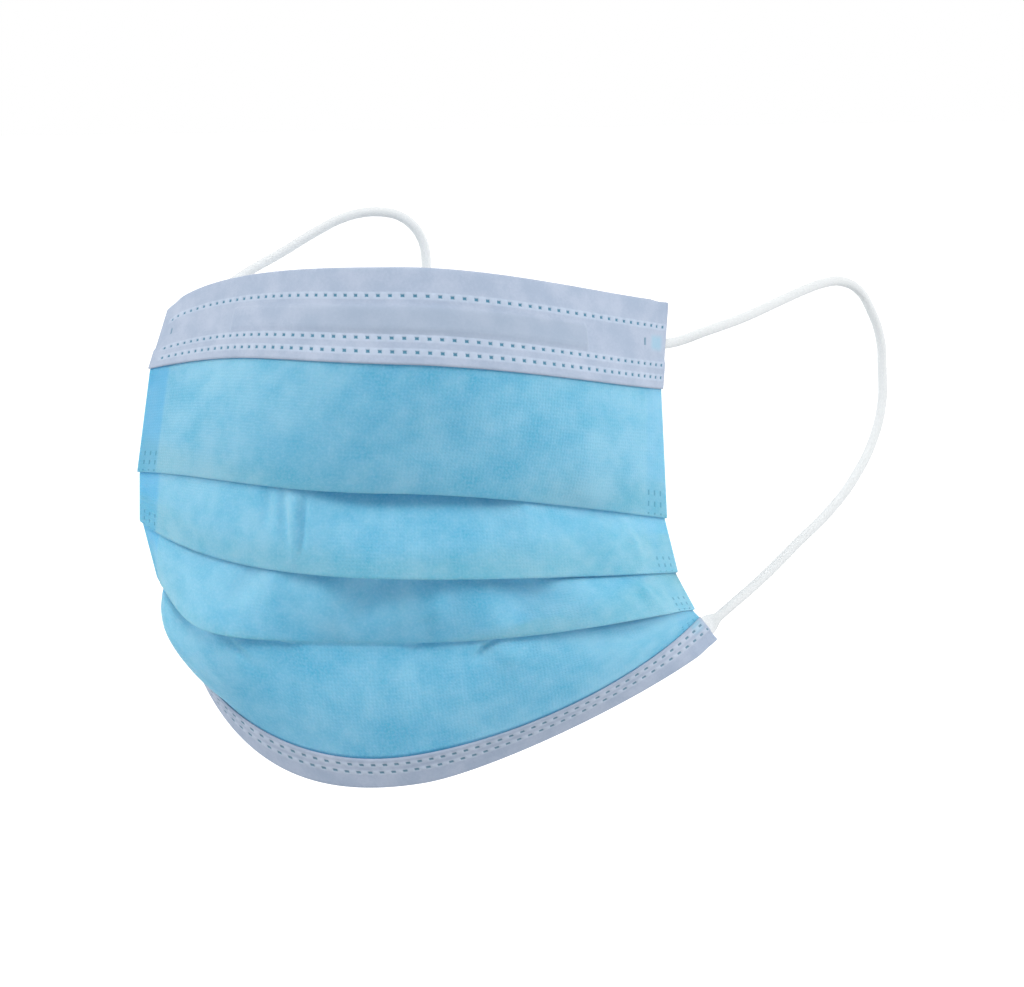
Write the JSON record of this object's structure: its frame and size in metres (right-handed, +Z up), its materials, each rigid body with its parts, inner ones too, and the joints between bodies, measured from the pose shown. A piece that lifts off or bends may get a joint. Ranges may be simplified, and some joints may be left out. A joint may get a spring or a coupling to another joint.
{
  "type": "pleated face mask",
  "caption": "Pleated nonwoven face mask in its worn form, open hollow behind, with folded top and bottom strips, a sealed nose wire and elastic ear loops.",
  "frame": {"origin": "the middle of the top edge, where the mask sits on the bridge of the nose", "axes": "+Z up, +Y towards the wearer's face, +X to the right as seen from the front"},
  "size_m": [0.1954, 0.1238, 0.1443],
  "materials": {
    "blue_nonwoven": "matte spunbond nonwoven",
    "white_nonwoven": "matte spunbond nonwoven",
    "nose_wire": "satin",
    "white_elastic": "matte knitted elastic"
  },
  "bodies": {
    "root": {"mask_panel": "blue_nonwoven", "top_binding": "white_nonwoven", "nose_wire": "nose_wire", "bottom_binding": "white_nonwoven", "ear_loop_right": "white_elastic", "ear_loop_left": "white_elastic"}
  },
  "joints": []
}
